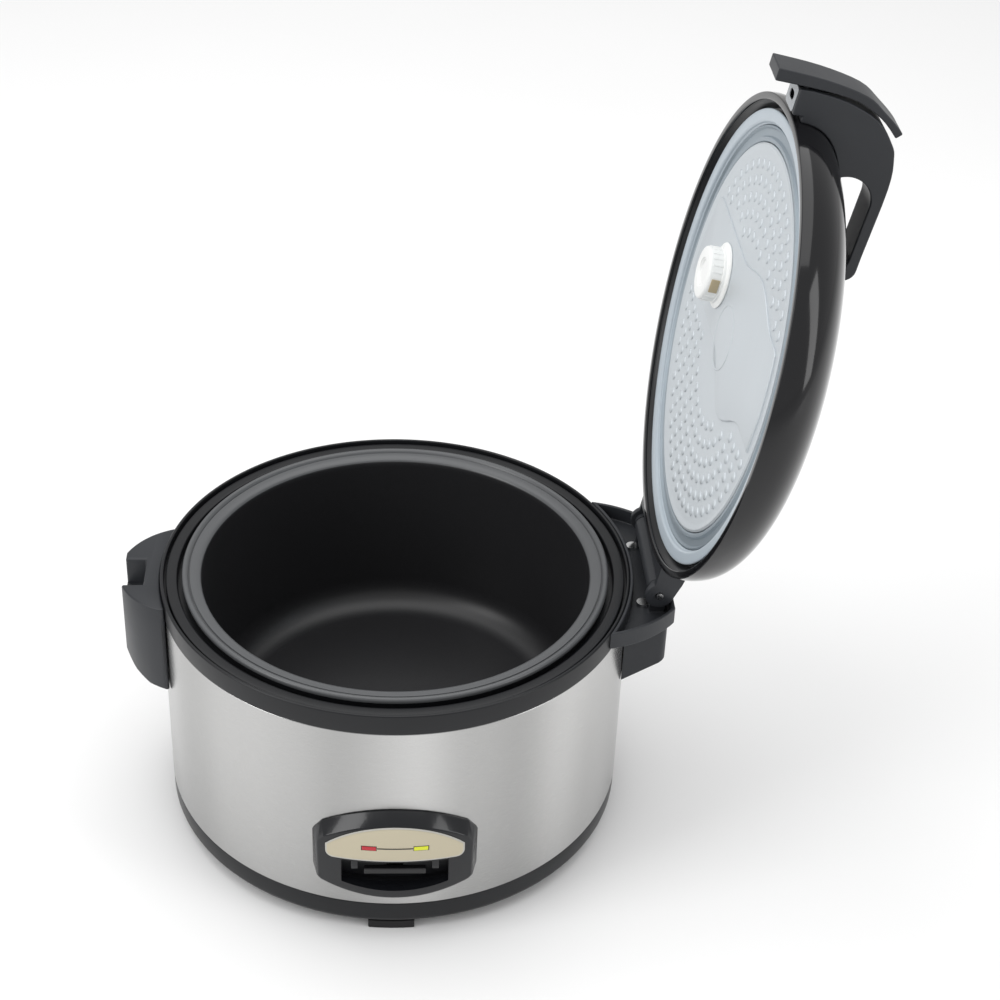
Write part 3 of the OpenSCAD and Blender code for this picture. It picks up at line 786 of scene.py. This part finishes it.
def slice_across(bm, half):
    for k in range(int(-half // SLICE), int(half // SLICE) + 1):
        bmesh.ops.bisect_plane(bm, geom=bm.verts[:] + bm.edges[:] + bm.faces[:], dist=1e-4,
                               plane_co=(k * SLICE + 0.5, 0, 0), plane_no=(1, 0, 0))


def panel_shape():
    """The flat panel, its outer edge pushed back and its lower back edge raised."""
    bm = extruded(bezel_outline(), 11.4, Matrix.Translation((0, 11.6, 0)) @ UPRIGHT)
    front = max(bm.faces, key=lambda f: -f.calc_center_median().y)
    bmesh.ops.inset_region(bm, faces=[front], thickness=7.5, depth=0, use_even_offset=True)
    slope = list(front.edges)
    inner = set(front.verts)
    outer = [v for v in bm.verts if v.co.y < 0.5 and v not in inner]
    bmesh.ops.translate(bm, vec=(0, 10.4, 0), verts=outer)
    for vert in bm.verts:
        if vert.co.y > 5 and vert.co.z < 70:
            vert.co.z += 6.5
    bmesh.ops.bevel(bm, geom=slope, offset=1.2, offset_type="OFFSET", segments=4, profile=0.5,
                    affect="EDGES", clamp_overlap=True, material=-1)
    return bm


def recess_outline(grow=0):
    """Mouth of the switch pocket: flat top, arched bottom."""
    half, r = 41.5 + grow, 126.5 + grow
    across = [half * (1 - i / 8) for i in range(17)]
    base = [(x, 183.5 - (r ** 2 - x ** 2) ** 0.5) for x in across]
    return [(-half, 87 + grow), (half, 87 + grow)] + base


def pocket_block(grow, depth, back):
    """A block with the pocket's outline that comes forward from y = back."""
    return extruded(recess_outline(grow), depth, Matrix.Translation((0, back, 0)) @ UPRIGHT)


def make_panel():
    bm = panel_shape()
    slice_across(bm, 66)
    wrap(bm)
    piece = finish_piece(bm, "panel_bezel", "housing", gloss_panel, ["control_bezel"],
                         PANEL_PLACE)
    carve(piece, pocket_block(0, 40, -185), PANEL_PLACE)
    carve(drum, pocket_block(1.9, 40, -170), PANEL_PLACE)
    pocket = finish_piece(pocket_block(1.6, 7, -184), "switch_pocket", "housing",
                          black_plastic, (), PANEL_PLACE)
    carve(pocket, pocket_block(-0.1, 30, -186), PANEL_PLACE)
    carve(pocket, slab_of(-6.5, 6.5, -188, -180, 66, 81), PANEL_PLACE)
    posts = [extruded(oblong(x - 2.8, x + 2.8, 77, 87.2), 12,
                      Matrix.Translation((0, -186, 0)) @ UPRIGHT, 0.8) for x in (-POST_X, POST_X)]
    finish_piece(join_meshes(posts), "pocket_posts", "housing", gloss_panel, (), PANEL_PLACE)


make_panel()
carve(drum, slab_of(*INLET_WINDOW), Matrix())
print("panel wrapped, inlet window cut")

# %% [markdown]
# The label is a thin champagne plate under the arch, with a pale border. A dark line
# joins the two lamps, and a dark frame lies round each. All are thin sheets that are
# wrapped like the panel and lie on the plate or just above it.

# %% Label, border and lamp line
LAMP_X, LAMP_Z = 20, 102.5


def label_outline(inset):
    half, low, r = 53.5 - inset, 89 + inset, 76 - inset
    corner = 6 - inset
    span = [half * (1 - i / 14) for i in range(29)]
    top = [(x, 48 + (r ** 2 - x ** 2) ** 0.5) for x in span]
    left = arc(corner - half, low + corner, corner, 180, 270, 5)
    return left + arc(half - corner, low + corner, corner, 270, 360, 5) + top


def wrapped_sheet(outline, low, high, name, material, nodes=()):
    """A sheet between two heights above the panel's face."""
    bm = extruded(outline, high - low, Matrix.Translation((0, -low, 0)) @ UPRIGHT)
    slice_across(bm, 60)
    wrap(bm)
    finish_piece(bm, name, "housing", material, nodes, PANEL_PLACE)


wrapped_sheet(label_outline(0), 0.05, 0.6, "label_border", label_edge)
wrapped_sheet(label_outline(1.3), 0.6, 0.85, "label_face", label_metal, ["label_plate"])
wrapped_sheet(oblong(-13.8, 13.8, LAMP_Z - 0.5, LAMP_Z + 0.5), 0.85, 1.0, "lamp_line",
              gloss_black)
for name, x in (("cook_frame", -LAMP_X), ("warm_frame", LAMP_X)):
    wrapped_sheet(oblong(x - 6, x + 6, LAMP_Z - 2.3, LAMP_Z + 2.3), 0.8, 0.95, name, gloss_black)
print("label, lamp line and frames laid on the panel")

# %% [markdown]
# ## Springs
# A coil is a small wire section spun round its axis while it also moves along it. One
# sits round the hinge's pin, and a short one stands under the thermostat's cap.

# %% Coils
STEPS_PER_TURN = 20


def coil(centre, axis, radius, wire, length, turns, name, nodes):
    bm = bmesh.new()
    bmesh.ops.create_circle(bm, segments=8, radius=wire, cap_ends=True)
    bmesh.ops.transform(bm, matrix=Matrix.Translation((radius, 0, 0)) @ UPRIGHT, verts=bm.verts)
    steps = turns * STEPS_PER_TURN
    bmesh.ops.spin(bm, geom=bm.verts[:] + bm.edges[:] + bm.faces[:], cent=(0, 0, 0),
                   axis=(0, 0, 1), dvec=(0, 0, length / steps), angle=2 * pi * turns,
                   steps=steps, use_merge=False)
    stand = Vector((0, 0, 1)).rotation_difference(Vector(axis)).to_matrix().to_4x4()
    start = Matrix.Translation((0, 0, -length / 2))
    finish_piece(bm, name, "housing", bright_steel, nodes,
                 Matrix.Translation(centre) @ stand @ start)
    print(name, "has", turns, "turns")


coil(hinge_at, (0, 1, 0), 5.2, 0.9, 56, 16, "lid_torsion_spring", ["hinge_spring"])
coil((0, 0, 55.1), (0, 0, 1), 10.2, 0.6, 4.4, 3, "thermostat_coil", ["thermostat_spring"])

# %% [markdown]
# ## Finishes for the nodes that stay as they are
# The hidden works keep their CAD shape and only take a finish.

# %% Node finishes
NODE_FINISHES = {
    "pot_well": cast_aluminium, "heater_plate": cast_aluminium, "heater_element": element_steel,
    "plate_posts": bright_steel, "warm_heater": mica, "thermostat_body": bright_steel,
    "thermostat_cap": cast_aluminium, "hinge_pin": bright_steel, "hinge_screws": bright_steel,
    "switch_bracket": drum_steel, "switch_pin": bright_steel, "micro_switch": black_plastic,
    "terminal_block": ceramic, "thermal_fuse": ceramic, "rating_plate": label_metal,
    "base_screws": bright_steel, "lid_screws": bright_steel, "lever_pin": bright_steel,
}
for node, material in NODE_FINISHES.items():
    mesh = frame["nodes"][node].data
    mesh.materials.clear()
    mesh.materials.append(material)
print(len(NODE_FINISHES), "plain nodes finished")

# %% [markdown]
# ## Floor and light
# A white floor under a bright even sky keeps the ground pale. A wide light overhead
# reaches into the pot. A tall key light on the left and a weaker fill on the right give
# the steel and the dome their upright highlights.

# %% Studio
FLOOR_HALF = 12


def area_light(name, at, target, width, height, power):
    lamp = bpy.data.lights.new(name, "AREA")
    lamp.energy, lamp.size, lamp.shape = power, width, "RECTANGLE"
    lamp.size_y = height
    light = bpy.data.objects.new(name, lamp)
    bpy.context.scene.collection.objects.link(light)
    light.location = at
    light.rotation_mode = "QUATERNION"
    light.rotation_quaternion = (Vector(target) - Vector(at)).to_track_quat("-Z", "Y")


def set_sky(colour, strength):
    world = bpy.data.worlds.new("sky")
    bpy.context.scene.world = world
    world.use_nodes = True
    back = world.node_tree.nodes["Background"]
    back.inputs["Color"].default_value = colour
    back.inputs["Strength"].default_value = strength


def make_floor():
    bm = bmesh.new()
    bmesh.ops.create_grid(bm, x_segments=1, y_segments=1, size=FLOOR_HALF)
    mesh = bpy.data.meshes.new("floor")
    bm.to_mesh(mesh)
    bm.free()
    floor = bpy.data.objects.new("floor", mesh)
    bpy.context.scene.collection.objects.link(floor)
    paper = Finish("floor_paper", Roughness=0.9, Specular_IOR_Level=0.1)
    paper.sets("Base Color", paper.mix(paper.noise(400, 2), tint(0.88, 0.88, 0.88),
                                       tint(0.9, 0.9, 0.9)))
    mesh.materials.append(paper.material)


set_sky(tint(1, 1, 1), 0.62)
make_floor()
area_light("top", (0.0, 0.4, 3.0), (0, 0.2, 0.2), 3.6, 3.6, 62)
area_light("key", (-1.9, -0.9, 1.5), (0, 0, 0.2), 0.9, 1.8, 20)
area_light("fill", (2.0, -1.2, 1.1), (0, 0, 0.2), 0.6, 1.8, 10)
bpy.context.scene.view_settings.view_transform = "Standard"
